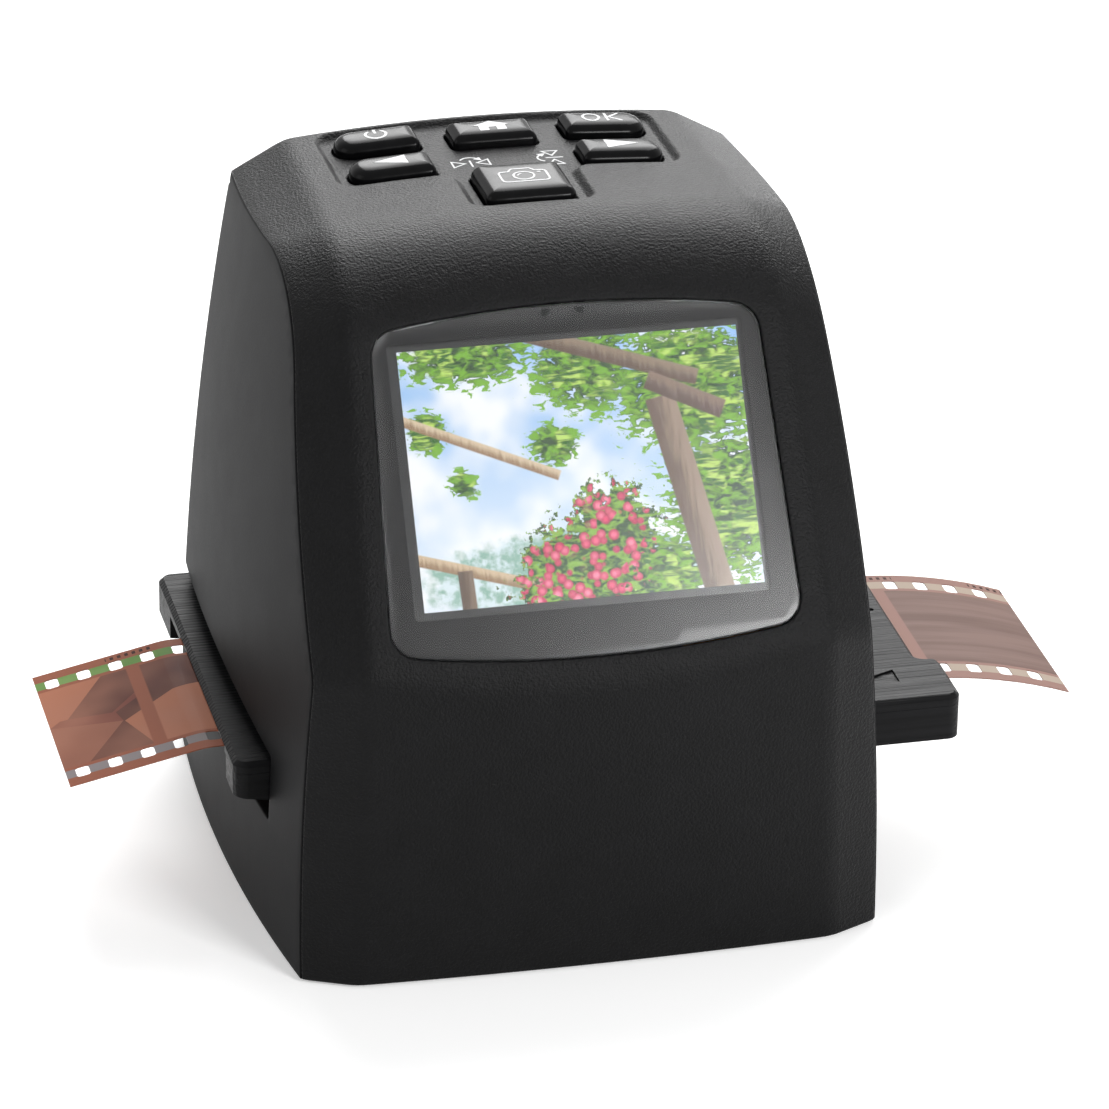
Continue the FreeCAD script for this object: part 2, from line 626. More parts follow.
def window_prism(grow):
    """Window outline with bowed ends, as a prism through the screen face."""
    low, top = mm.window_low - grow, mm.window_top + grow
    low_half, top_half = mm.window_low_half + grow, mm.window_top_half + grow
    out = mm.overrun / 2

    def at(x, up):
        return on_screen(x, up, -out)
    edges = [Part.Arc(at(-low_half, low), at(0, mm.window_low_middle - grow),
                      at(low_half, low)),
             Part.LineSegment(at(low_half, low), at(top_half, top)),
             Part.Arc(at(top_half, top), at(0, mm.window_top_middle + grow),
                      at(-top_half, top)),
             Part.LineSegment(at(-top_half, top), at(-low_half, low))]
    wire = Part.Wire([edge.toShape() for edge in edges])
    solid = Part.Face(wire).extrude(on_screen(0, 0, out) - on_screen(0, 0, -out))
    sides = [edge for edge in solid.Edges
             if abs(edge.Length - 2 * out) < mm.film_thick and len(edge.Vertexes) == 2
             and abs(abs(edge.Vertexes[0].Point.x - edge.Vertexes[1].Point.x)) < mm.film_thick]
    return solid.makeFillet(mm.window_corner + grow, sides)


# Depths behind the screen face
pocket_out = -(d.window_seat + d.ledge)
panel_front = pocket_out - d.panel_gap
panel_back = panel_front - d.panel_thick
bezel_back_face = panel_back - d.bezel_fit - d.bezel_back
panel_half = d.screen_width / 2 + d.panel_side_margin
panel_low = -d.panel_end_margin
panel_high = d.screen_height + d.panel_end_margin
bezel_half = panel_half + d.bezel_fit + d.bezel_wall
bezel_low = panel_low - d.bezel_fit - d.bezel_wall
bezel_high = panel_high + d.bezel_fit + d.bezel_wall
EAR_PLACES = [(side, up) for side in (-1, 1) for up in (d.ear_low, d.ear_high)]
ear_x = bezel_half + d.ear_reach - d.ear_screw_in


# Keys: plan outline, place and the level they stand on

def key_plan(x, y, width, depth, corner, round_side, grow):
    """Rounded rectangle; round_side -1 or 1 makes that end nearly a half circle."""
    corners = frame_corners(x, y, width + 2 * grow, depth + 2 * grow)
    full = (depth / 2 + grow) * mm.key_round_share
    plain = corner + grow
    left = full if round_side < 0 else plain
    right = full if round_side > 0 else plain
    return corners, [left, right, right, left]


KEYS = {
    "power": (-mm.side_key_x, mm.back_row_y, mm.side_key_width, mm.side_key_depth,
              mm.key_corner, -1),
    "home": (0.0, mm.home_key_y, mm.home_key_width, mm.home_key_depth, mm.key_corner, 0),
    "ok": (mm.side_key_x, mm.back_row_y, mm.side_key_width, mm.side_key_depth,
           mm.key_corner, 1),
    "left": (-mm.side_key_x, mm.middle_row_y, mm.side_key_width, mm.side_key_depth,
             mm.key_corner, -1),
    "right": (mm.side_key_x, mm.middle_row_y, mm.side_key_width, mm.side_key_depth,
              mm.key_corner, 1),
    "capture": (0.0, mm.capture_key_y, mm.capture_key_width, mm.capture_key_depth,
                mm.capture_corner, 0),
}
KEY_BOSSES = [(side * x, y) for side in (-1, 1)
              for x, y in ((mm.key_boss_out_x, mm.key_boss_out_y),
                           (mm.key_boss_in_x, mm.key_boss_in_y))]
key_board_top = key_board_low + d.key_board_thick
plunger_top = key_board_top + d.switch_tall - d.plunger_inside + d.plunger_tall


def key_flange_top(x, y, width, depth):
    """Highest level for a key's flange under the roof of the case."""
    reach_x = abs(x) + width / 2 + mm.key_flange
    reach_y = y + depth / 2 + mm.key_flange
    return top_height(reach_x, reach_y) - mm.wall - mm.key_roof_gap


def make_key(name):
    """Key cap with a bevelled top, a flange that keeps it in the case and a stem."""
    x, y, width, depth, corner, round_side = KEYS[name]
    step = mm.key_shoulder
    slope_x = (top_height(x + step, y) - top_height(x - step, y)) / (2 * step)
    slope_y = (top_height(x, y + step) - top_height(x, y - step)) / (2 * step)
    floor = top_height(x, y) - mm.field_depth

    def tilted(level):
        return lambda u, v: Vector(u, v, level + slope_x * (u - x) + slope_y * (v - y))
    flange_top = key_flange_top(x, y, width, depth)
    wide = key_plan(x, y, width, depth, corner, round_side, 0.0)
    small = key_plan(x, y, width, depth, corner, round_side, 0.0)
    bevel = mm.key_bevel
    small = (frame_corners(x, y, width - 2 * bevel, depth - 2 * bevel),
             [max(radius - bevel, mm.smallest_radius) for radius in wide[1]])
    wires = [outline(*wide, flat(flange_top)),
             outline(*wide, tilted(floor + mm.key_shoulder)),
             outline(*small, tilted(floor + mm.key_proud))]
    cap = Part.makeLoft(wires, True, True)
    flange = prism(*key_plan(x, y, width, depth, corner, round_side, mm.key_flange),
                   flange_top - mm.key_flange_thick, flange_top)
    stem = rod(x, y, plunger_top, flange_top, mm.key_stem_radius)
    return cap.fuse([flange, stem]).removeSplitter()


def key_field():
    """Sunken floor of the keys: a wide field with a tongue round the capture key."""
    half, tongue = mm.field_half_width, mm.field_tongue_half
    back, front, tip = mm.field_back_y, mm.field_front_y, mm.field_tongue_front_y
    corners = [(-tongue, tip), (tongue, tip), (tongue, front), (half, front), (half, back),
               (-half, back), (-half, front), (-tongue, front)]
    wide, small = mm.field_corner, mm.tongue_corner
    radii = [small, small, small, wide, wide, wide, wide, small]
    low = mm.top_back_height - mm.overrun
    high = mm.top_back_height + mm.overrun
    return prism(corners, radii, low, high).cut(case_solid(mm.field_depth, 0.0))


def key_holes():
    holes = [prism(*key_plan(x, y, width, depth, corner, side, mm.key_gap),
                   float(key_board_low), mm.top_back_height + mm.overrun)
             for x, y, width, depth, corner, side in KEYS.values()]
    return holes


# Case shells

def case_post(x, y, web_x, web_y):
    """Screw post with a web that ties it to the wall, and its pilot hole."""
    low, high = mm.base_thick + mm.post_gap, mm.post_top
    half = mm.post_web / 2
    post = rod(x, y, low, high, mm.post_radius)
    if web_x:
        web = box(min(x, web_x), max(x, web_x), y - half, y + half, low, high)
    else:
        web = box(x - half, x + half, min(y, web_y), max(y, web_y), low, high)
    return anchored(post.fuse(web))


def post_bore(x, y):
    return rod(x, y, 0, mm.base_thick + mm.screw_long, mm.screw_radius + mm.screw_fit)


def make_front_shell():
    """Front, screen surround, top and slanted bands in one moulding."""
    shell = plain_shell.common(front_zone(0.0))
    seat_ring = window_prism(mm.window_gap).cut(case_solid(mm.window_seat, 0.0))
    margin, out = d.screen_margin, mm.overrun / 2
    opening = screen_block(-(d.screen_width / 2 + margin), d.screen_width / 2 + margin,
                           -margin, d.screen_height + margin, -out, out)
    clear = d.module_clearance
    cavity = screen_block(-(bezel_half + clear), bezel_half + clear, bezel_low - clear,
                          bezel_high + clear, -out, pocket_out)
    shell = shell.cut([seat_ring, opening, cavity, key_field(), *key_holes()])
    additions = [anchored(rod(x, y, key_board_top, mm.top_back_height + mm.overrun,
                              mm.key_boss_radius)) for x, y in KEY_BOSSES]
    for side, up in EAR_PLACES:
        radius = mm.small_head_radius
        additions.append(anchored(screen_rod(ear_x * side, up, bezel_back_face + d.ear_thick,
                                             0, radius)))
    for side in (-1, 1):
        additions.append(case_post(side * mm.front_post_x, mm.front_post_y, 0,
                                   mm.front_y - mm.wall))
    shell = shell.fuse(additions)
    bores = [rod(x, y, key_board_top, key_board_top + d.small_screw_long,
                 d.small_screw_radius + d.screw_fit) for x, y in KEY_BOSSES]
    bores += [screen_rod(ear_x * side, up, bezel_back_face,
                         bezel_back_face + d.small_screw_long / 2 + d.ear_thick,
                         d.small_screw_radius + d.screw_fit) for side, up in EAR_PLACES]
    bores += [post_bore(side * mm.front_post_x, mm.front_post_y) for side in (-1, 1)]
    return shell.cut(bores)


def slot_prism():
    """Tray slot with an arched top, right through both sides."""
    reach = mm.case_half_width + mm.overrun

    def at(y, z):
        return Vector(-reach, y, z)
    front, back = mm.slot_front_y, mm.slot_back_y
    edges = [Part.LineSegment(at(front, mm.slot_low), at(back, mm.slot_low)),
             Part.LineSegment(at(back, mm.slot_low), at(back, mm.slot_back_top)),
             Part.Arc(at(back, mm.slot_back_top), at(mm.slot_arch_y, mm.slot_arch_top),
                      at(front, mm.slot_front_top)),
             Part.LineSegment(at(front, mm.slot_front_top), at(front, mm.slot_low))]
    return Part.Face(Part.Wire([edge.toShape() for edge in edges])).extrude(
        Vector(2 * reach, 0, 0))


# Sockets on the main board's inner face
usb_mid = d.usb_low + d.usb_tall / 2
card_mid = d.card_low + d.card_tall / 2
BOARD_SCREWS = [(d.board_screw_front_y, d.board_screw_low),
                (d.board_screw_low_back_y, d.board_screw_low),
                (d.board_screw_front_y, d.board_screw_high),
                (d.board_screw_high_back_y, d.board_screw_high)]
usb_mouth_y = back_wall_y(float(usb_mid + d.usb_tall / 2)) - mm.usb_inset
card_mouth_y = back_wall_y(float(d.card_low + d.card_tall)) - mm.wall - mm.port_clear
jack_mouth_y = back_wall_y(mm.jack_height + mm.jack_nose_radius) - mm.jack_inset
jack_body_y = back_wall_y(mm.jack_height + mm.jack_side / 2) - mm.wall - mm.port_clear


def side_rod(y, z, x_low, x_high, radius):
    return Part.makeCylinder(float(radius), float(x_high) - float(x_low),
                             Vector(x_low, y, z), Vector(1, 0, 0))


def back_rod(x, z, y_low, y_high, radius):
    return Part.makeCylinder(float(radius), float(y_high) - float(y_low),
                             Vector(x, y_low, z), Vector(0, 1, 0))


jack_x = board_inner - d.jack_side / 2
card_x = board_inner - d.card_thick / 2


def make_rear_shell():
    """Both sides and the back in one moulding, with the tray slot and the port holes."""
    shell = plain_shell.cut(front_zone(mm.seam_gap))
    gap, far = mm.port_gap, mm.case_back_y + mm.overrun
    near = mm.case_top_back_y - mm.overrun / 2
    usb_hole = box(board_inner - d.usb_thick - gap, board_inner + gap, near, far,
                   d.usb_low - gap, d.usb_low + d.usb_tall + gap)
    slot_half = d.card_slot_tall / 2 + d.card_mouth_margin
    slot_deep = d.card_slot_thick / 2 + d.card_mouth_margin
    card_hole = box(card_x - slot_deep, card_x + slot_deep, near, far,
                    card_mid - slot_half, card_mid + slot_half)
    jack_hole = back_rod(jack_x, d.jack_height, near, far, d.jack_nose_radius + gap)
    shell = shell.cut([slot_prism(), usb_hole, card_hole, jack_hole])
    additions = [anchored(side_rod(y, z, board_outer, mm.case_half_width + mm.overrun,
                                   mm.board_boss_radius)) for y, z in BOARD_SCREWS]
    for side in (-1, 1):
        additions.append(case_post(side * rear_post_x, mm.rear_post_y,
                                   side * (mm.case_half_width + mm.wall), 0))
    shell = shell.fuse(additions)
    bores = [side_rod(y, z, board_outer, board_outer + d.small_screw_long,
                      d.small_screw_radius + d.screw_fit) for y, z in BOARD_SCREWS]
    bores += [post_bore(side * rear_post_x, mm.rear_post_y) for side in (-1, 1)]
    return shell.cut(bores)


# Base plate, feet and screws

CASE_SCREWS = [(side * mm.front_post_x, mm.front_post_y) for side in (-1, 1)]
CASE_SCREWS += [(side * rear_post_x, mm.rear_post_y) for side in (-1, 1)]
LEGS = [(side * mm.leg_x, y) for side in (-1, 1) for y in (mm.leg_front_y, mm.leg_back_y)]
FEET = [(side * x, y) for side in (-1, 1)
        for x, y in ((foot_front_x, mm.foot_front_y), (foot_back_x, mm.foot_back_y))]
lamp_screw_y = lamp_board_depth / 2 - d.lamp_screw_in
LAMP_SCREWS = [(side * float(lamp_screw_x), mm.film_mid_y + end * float(lamp_screw_y))
               for side in (-1, 1) for end in (-1, 1)]
lamp_board_low = d.base_thick + d.lamp_standoff
lamp_board_top = lamp_board_low + d.board_thick


def screw_room(x, y):
    """Clear hole with a counterbore for a screw head, from below."""
    hole = rod(x, y, -mm.overrun, mm.base_thick + mm.overrun / 2,
               mm.screw_radius + mm.screw_hole_gap)
    head = rod(x, y, -mm.overrun, mm.screw_head_tall,
               mm.screw_head_radius + mm.screw_hole_gap)
    return hole.common(box(-mm.overrun + x, x + mm.overrun, y - mm.overrun, y + mm.overrun,
                           -mm.overrun, mm.base_thick)).fuse(head)


def make_base_plate():
    """Bottom cover that fits inside both shells."""
    inside = case_solid(mm.wall + mm.base_gap, -mm.overrun)
    reach = mm.case_half_width + mm.overrun
    plate = inside.common(box(-reach, reach, -reach, reach, 0, mm.base_thick))
    pillars = [rod(x, y, mm.base_thick, lamp_board_low, mm.standoff_radius)
               for x, y in LAMP_SCREWS]
    plate = plate.fuse(pillars)
    cuts = [screw_room(x, y) for x, y in CASE_SCREWS + LEGS]
    cuts += [rod(x, y, -mm.overrun, mm.foot_seat, mm.foot_radius + mm.foot_gap)
             for x, y in FEET]
    cuts += [rod(x, y, mm.base_thick / 2, lamp_board_low,
                 mm.small_screw_radius + mm.screw_fit) for x, y in LAMP_SCREWS]
    half = mm.vent_long / 2
    for row in range(3):
        y = mm.vent_y + row * mm.vent_pitch
        cuts.append(box(-half, half, y - mm.vent_wide / 2, y + mm.vent_wide / 2,
                        -mm.overrun, mm.overrun / 2 - mm.overrun / 4))
    return plate.cut(cuts)


def screw(place, axis, head_radius, head_tall, radius, long, drive_radius, drive_deep):
    """Pan head screw: place is under the head, axis points along the shank."""
    axis = axis.normalize()
    head = Part.makeCylinder(head_radius, head_tall, place - axis * head_tall, axis)
    shank = Part.makeCylinder(radius, long, place, axis)
    recess = Part.makeCylinder(drive_radius, drive_deep, place - axis * head_tall, axis)
    return head.fuse(shank).cut(recess)


def case_screw(x, y):
    return screw(Vector(x, y, mm.screw_head_tall), Vector(0, 0, 1), mm.screw_head_radius,
                 mm.screw_head_tall, mm.screw_radius, mm.screw_long - mm.screw_head_tall,
                 mm.drive_radius, mm.drive_deep)


def small_screw(place, axis, long):
    return screw(place, axis, mm.small_head_radius, mm.small_head_tall,
                 mm.small_screw_radius, long, mm.small_drive_radius, mm.small_drive_deep)


# Levels of the tray, its channel, the lamp and the camera
tray_low = d.tray_top - d.tray_thick
part_line = d.tray_top - d.cover_thick
film_top = d.tray_top - d.cover_thick / 2 - d.film_over_gap
film_low = film_top - d.film_thick
land_top = film_low - d.film_over_land
channel_top = tray_low - d.slide_gap
channel_low = channel_top - d.channel_floor
rail_top = d.tray_top + d.rail_over_tray
shroud_boss_y = d.tray_front_y - d.rail_gap - d.shroud_boss_radius
lamp_box_top = channel_low - d.diffuser_gap - d.diffuser_thick
shroud_flange_top = rail_top + d.shroud_flange
camera_plate_low = shroud_flange_top + d.shroud_tall
camera_plate_top = camera_plate_low + d.camera_plate_thick
camera_board_low = camera_plate_top + d.camera_post_tall
holder_low = camera_board_low - d.holder_tall
barrel_low_face = camera_board_low - d.barrel_low
barrel_radius = d.holder_side / 2 - d.holder_wall - d.barrel_gap
post_off = d.camera_plate_side / 2 - d.camera_post_in
CAMERA_POSTS = [(side * post_off, d.film_mid_y + post_off * end)
                for side in (term(-1), term(1)) for end in (-1, 1)]


def make_tray_base():
    """Lower half of the tray: an open gate, ears at its left end and a grip lug."""
    item = body("tray_base")
    drawing = sketch(item, "TrayBaseOutline", tray_low)
    inner_left = d.tray_left + d.ear_long
    draw_polygon(drawing, [
        (d.tray_left, d.tray_front_y), (d.tray_right, d.tray_front_y),
        (d.tray_right, d.lug_back_y), (d.tray_mouth_x, d.lug_back_y),
        (d.tray_mouth_x, d.tray_back_y), (d.tray_left, d.tray_back_y),
        (d.tray_left, d.tray_back_y - d.back_ear_wide),
        (inner_left, d.tray_back_y - d.back_ear_wide),
        (inner_left, d.tray_front_y + d.front_ear_wide),
        (d.tray_left, d.tray_front_y + d.front_ear_wide)])
    pad(item, drawing, part_line - d.tray_joint_gap - tray_low)
    half_land = d.film_width / 2 - d.land_side
    block_pad(item, "FilmLand", inner_left, d.tray_mouth_x - d.mouth_long,
              d.film_mid_y - half_land, d.film_mid_y + half_land,
              part_line - d.tray_joint_gap, land_top)
    block_pocket(item, "FilmMouth", d.tray_mouth_x - d.mouth_long,
                 d.tray_right + d.overrun, d.film_mid_y - d.film_width / 2 - d.film_side_gap,
                 d.film_mid_y + d.film_width / 2 + d.film_side_gap,
                 part_line - d.tray_joint_gap - d.mouth_drop, d.tray_top)
    block_pocket(item, "LightGate", -(d.gate_width / 2), d.gate_width / 2,
                 d.film_mid_y - d.gate_depth / 2, d.film_mid_y + d.gate_depth / 2,
                 tray_low - d.overrun, land_top + d.overrun)
    groove = d.hinge_pin_radius + d.hinge_fit
    pin_y = d.tray_back_y - d.hinge_pin_in
    block_pocket(item, "HingeGroove", -(d.hinge_pin_long / 2) - d.hinge_fit,
                 d.hinge_pin_long / 2 + d.hinge_fit, pin_y - groove, pin_y + groove,
                 part_line - groove, d.tray_top)
    lead = sketch(item, "LeadIn", d.tray_front_y - d.overrun, "XZ_Plane")
    bind(lead, ".AttachmentOffset.Base.z", -(d.tray_back_y + d.overrun))
    draw_polygon(lead, [(d.tray_left - d.overrun, tray_low - d.overrun),
                        (d.tray_left + d.lead_in_long, tray_low - d.overrun),
                        (d.tray_left + d.lead_in_long, tray_low),
                        (d.tray_left, tray_low + d.lead_in_rise),
                        (d.tray_left - d.overrun, tray_low + d.lead_in_rise)])
    cut = pocket(item, lead, d.overrun * 2 + d.tray_back_y - d.tray_front_y)
    cut.Reversed = True
    return item


def make_tray_cover():
    """Upper half of the tray, with the film's room under it and bevelled outer edges."""
    item = body("tray_cover")
    drawing = sketch(item, "TrayCoverOutline", part_line)
    draw_polygon(drawing, [
        (d.tray_left, d.tray_front_y), (d.tray_right, d.tray_front_y),
        (d.tray_right, d.lug_back_y), (d.tray_mouth_x, d.lug_back_y),
        (d.tray_mouth_x, d.tray_back_y), (d.tray_left, d.tray_back_y)])
    pad(item, drawing, d.cover_thick)
    half_room = d.film_width / 2 + d.film_side_gap
    block_pocket(item, "FilmRoom", d.tray_left - d.overrun, d.tray_right + d.overrun,
                 d.film_mid_y - half_room, d.film_mid_y + half_room,
                 part_line - d.overrun, film_top + d.film_over_gap)
    block_pocket(item, "PictureGate", -(d.gate_width / 2), d.gate_width / 2,
                 d.film_mid_y - d.gate_depth / 2, d.film_mid_y + d.gate_depth / 2,
                 part_line - d.overrun, d.tray_top + d.overrun)
    groove = d.hinge_pin_radius + d.hinge_fit
    pin_y = d.tray_back_y - d.hinge_pin_in
    block_pocket(item, "CoverGroove", -(d.hinge_pin_long / 2) - d.hinge_fit,
                 d.hinge_pin_long / 2 + d.hinge_fit, pin_y - groove, pin_y + groove,
                 part_line - groove, part_line + groove)
    mark = sketch(item, "InsertMark", d.tray_top)
    draw_polygon(mark, [(d.arrow_x, d.arrow_y), (d.arrow_x + d.arrow_long, d.arrow_y
                                                 - d.arrow_half),
                        (d.arrow_x + d.arrow_long, d.arrow_y + d.arrow_half)])
    pocket(item, mark, d.arrow_deep)
    hole = sketch(item, "PegHole", d.tray_top)
    draw_circle(hole, d.peg_hole_x, d.peg_hole_y, d.peg_hole_radius)
    pocket(item, hole, d.peg_hole_deep)
    return item


def dress_tray(item, cover):
    """Round the tray's upright corners, and bevel the cover's outer top edges."""
    doc.recompute()
    picks = [(d.tray_left, d.tray_front_y), (d.tray_right, d.tray_front_y),
             (d.tray_left, d.tray_back_y), (d.tray_mouth_x, d.tray_back_y)]
    curve = [(d.tray_right, d.lug_back_y), (d.tray_mouth_x, d.lug_back_y)]
    for name, places, radius in (("Corners", picks, d.tray_corner),
                                 ("LugCurve", curve, d.lug_curve)):
        base, names = item.Tip, upright_edges(item, places)
        rounding = item.newObject("PartDesign::Fillet", item.Name + name)
        rounding.Base = (base, names)
        bind(rounding, "Radius", radius)
        doc.recompute()
    if not cover:
        return
    edges = []
    for number, edge in enumerate(item.Tip.Shape.Edges, start=1):
        outside = edge.BoundBox
        at_top = outside.ZMin > mm.tray_top - mm.film_thick
        low_x, high_x = outside.XMin, outside.XMax
        if at_top and outside.YMax < mm.tray_front_y + mm.tray_corner + mm.film_thick:
            edges.append(f"Edge{number}")
        elif at_top and high_x < mm.tray_left + mm.tray_corner + mm.film_thick:
            edges.append(f"Edge{number}")
        elif at_top and outside.YMin > mm.tray_back_y - mm.tray_corner - mm.film_thick:
            edges.append(f"Edge{number}")
        elif at_top and low_x > mm.tray_right - mm.lug_corner - mm.film_thick:
            edges.append(f"Edge{number}")
    base = item.Tip
    bevel = item.newObject("PartDesign::Chamfer", item.Name + "Bevel")
    bevel.Base = (base, edges)
    bind(bevel, "Size", d.tray_bevel)


def film_profile(offset):
    """Points along the film's middle line, shifted up by offset, as straight runs and arcs."""
    level = float(film_low) + mm.film_thick / 2
    fall = mm.film_left_fall
    size = sqrt(1 + fall * fall)
    bend = mm.film_left_radius
    left_turn = mm.film_left_bend_x
    mid_angle = atan2(fall, 1) / 2
    bend_end = (left_turn - bend * fall / size, level - bend * (1 - 1 / size))
    bend_mid = (left_turn - bend * sin(mid_angle), level - bend * (1 - cos(mid_angle)))
    run = mm.film_left - bend_end[0]
    left_tip = (mm.film_left, bend_end[1] + run * fall)
    radius = mm.film_right_radius
    right_turn = mm.film_right_bend_x
    reach = mm.film_right - right_turn
    end_angle = atan2(reach, sqrt(radius * radius - reach * reach))
    right_tip = (right_turn + radius * sin(end_angle), level - radius * (1 - cos(end_angle)))
    right_mid = (right_turn + radius * sin(end_angle / 2),
                 level - radius * (1 - cos(end_angle / 2)))

    def shift(point, slope_x, slope_z):
        return Vector(point[0] + offset * slope_x, 0, point[1] + offset * slope_z)
    left_normal = (-fall / size, 1 / size)
    return {
        "left_tip": shift(left_tip, *left_normal), "bend_end": shift(bend_end, *left_normal),
        "bend_mid": shift(bend_mid, -sin(mid_angle), cos(mid_angle)),
        "left_flat": shift((left_turn, level), 0, 1),
        "right_flat": shift((right_turn, level), 0, 1),
        "right_mid": shift(right_mid, sin(end_angle / 2), cos(end_angle / 2)),
        "right_tip": shift(right_tip, sin(end_angle), cos(end_angle)),
    }


def make_film():
    """Strip of 35 mm film that droops at both ends, with its two rows of holes."""
    top, low = film_profile(mm.film_thick / 2), film_profile(-mm.film_thick / 2)
    y = mm.film_mid_y - mm.film_width / 2
    for points in (top, low):
        for point in points.values():
            point.y = y

    def chain(points):
        return [Part.LineSegment(points["left_tip"], points["bend_end"]),
                Part.Arc(points["bend_end"], points["bend_mid"], points["left_flat"]),
                Part.LineSegment(points["left_flat"], points["right_flat"]),
                Part.Arc(points["right_flat"], points["right_mid"], points["right_tip"])]
    edges = chain(top) + chain(low)
    edges += [Part.LineSegment(top["left_tip"], low["left_tip"]),
              Part.LineSegment(top["right_tip"], low["right_tip"])]
    wire = Part.Wire(Part.__sortEdges__([edge.toShape() for edge in edges]))
    strip = Part.Face(wire).extrude(Vector(0, mm.film_width, 0))
    count = int((mm.film_right - mm.film_left - 2 * mm.hole_first_in) / mm.hole_pitch) + 1
    low_level, high_level = mm.slot_low - mm.wall, mm.tray_top
    cuts = []
    for row in (-1, 1):
        for number in range(count):
            x = mm.film_left + mm.hole_first_in + number * mm.hole_pitch
            cuts.append(prism(frame_corners(x, mm.film_mid_y + row * mm.hole_row,
                                            mm.hole_long, mm.hole_wide),
                              [mm.hole_corner] * 4, low_level, high_level))
    return strip.cut(Part.makeCompound(cuts))


def make_channel():
    """Guide for the tray: a floor with a light window, two rails and four legs."""
    item = body("tray_channel")
    front = d.tray_front_y - d.rail_gap - d.front_rail
    back = d.tray_back_y + d.rail_gap + d.back_rail
    drawing = sketch(item, "ChannelFloor", channel_low)
    draw_polygon(drawing, [
        (-channel_half, front), (channel_half, front),
        (channel_half, d.channel_step_y), (channel_back_half, d.channel_step_y),
        (channel_back_half, back), (-channel_back_half, back),
        (-channel_back_half, d.channel_step_y), (-channel_half, d.channel_step_y)])
    pad(item, drawing, d.channel_floor)
    block_pad(item, "FrontRail", -channel_half, channel_half, front,
              front + d.front_rail, channel_low, rail_top)
    block_pad(item, "BackRail", -channel_back_half, channel_back_half,
              back - d.back_rail, back, channel_low, rail_top)
    for number, side in enumerate((term(-1), term(1))):
        boss = sketch(item, f"ShroudBoss{number}", channel_low)
        draw_circle(boss, side * d.shroud_boss_x, shroud_boss_y, d.shroud_boss_radius)
        pad(item, boss, rail_top - channel_low)
    half_leg = d.leg_side / 2
    for number, (side, y) in enumerate([(side, y) for side in (term(-1), term(1))
                                        for y in (d.leg_front_y, d.leg_back_y)]):
        block_pad(item, f"Leg{number}", side * d.leg_x - half_leg,
                  side * d.leg_x + half_leg, y - half_leg, y + half_leg, d.base_thick,
                  channel_low)
        bore = sketch(item, f"LegBore{number}", d.base_thick + d.screw_long)
        draw_circle(bore, side * d.leg_x, y, d.screw_radius + d.screw_fit)
        pocket(item, bore, d.screw_long)
    margin = d.channel_window_margin
    block_pocket(item, "LightWindow", -(d.gate_width / 2 + margin),
                 d.gate_width / 2 + margin, d.film_mid_y - d.gate_depth / 2 - margin,
                 d.film_mid_y + d.gate_depth / 2 + margin, channel_low - margin, rail_top)
    half_window = d.detent_window / 2
    for number, side in enumerate((term(-1), term(1))):
        block_pocket(item, f"DetentWindow{number}", side * d.detent_x - half_window,
                     side * d.detent_x + half_window, front - d.overrun,
                     d.tray_front_y - d.rail_gap / 2, tray_low + d.detent_rise,
                     tray_low + d.detent_rise + d.detent_window)
        hole = sketch(item, f"ShroudBore{number}", rail_top)
        draw_circle(hole, side * d.shroud_boss_x, shroud_boss_y,
                    d.small_screw_radius + d.screw_fit)
        pocket(item, hole, d.small_screw_long)
    return item


def make_detent(side):
    """Leaf spring on the outside of the front rail, with a bump through its window."""
    rail = mm.tray_front_y - mm.rail_gap - mm.front_rail
    x = side * mm.detent_x
    z = float(tray_low) + mm.detent_rise + mm.detent_window / 2
    leaf = box(x - mm.detent_long / 2, x + mm.detent_long / 2, rail - mm.detent_thick, rail,
               z - mm.detent_tall / 2, z + mm.detent_tall / 2)
    tip = mm.tray_front_y - mm.detent_tip_gap
    radius = mm.detent_window / 2 - mm.rail_gap
    bump = Part.makeCone(radius, radius / 2, tip - rail, Vector(x, rail, z),
                         Vector(0, 1, 0))
    return leaf.fuse(bump)


def make_leds():
    leds = []
    for column in range(4):
        for row in range(3):
            x = (column - 1.5) * mm.led_pitch_x
            y = mm.film_mid_y + (row - 1) * mm.led_pitch_y
            corners = frame_corners(x, y, mm.led_long, mm.led_wide)
            leds.append(prism(corners, [mm.led_wide / 8] * 4, lamp_board_top,
                              lamp_board_top + d.led_tall))
    return Part.makeCompound(leds)


def make_lamp_board():
    item = body("lamp_board")
    half, deep = lamp_board_width / 2, lamp_board_depth / 2
    block_pad(item, "LampBoard", -half, half, d.film_mid_y - deep, d.film_mid_y + deep,
              lamp_board_low, lamp_board_top)
    holes = sketch(item, "LampHoles", lamp_board_top)
    for side in (term(-1), term(1)):
        for end in (term(-1), term(1)):
            draw_circle(holes, side * lamp_screw_x, d.film_mid_y + end * lamp_screw_y,
                        d.small_screw_radius + d.screw_hole_gap)
    pocket(item, holes, d.board_thick)


def make_light_box():
    """White reflector walls between the lamp board and the diffuser."""
    item = body("light_box")
    half, deep = lamp_box_width / 2, lamp_box_depth / 2
    wall = d.lamp_box_wall
    block_pad(item, "BoxOutside", -half, half, d.film_mid_y - deep, d.film_mid_y + deep,
              lamp_board_top, lamp_box_top)
    block_pocket(item, "BoxInside", -half + wall, half - wall, d.film_mid_y - deep + wall,
                 d.film_mid_y + deep - wall, lamp_board_top - wall, lamp_box_top)


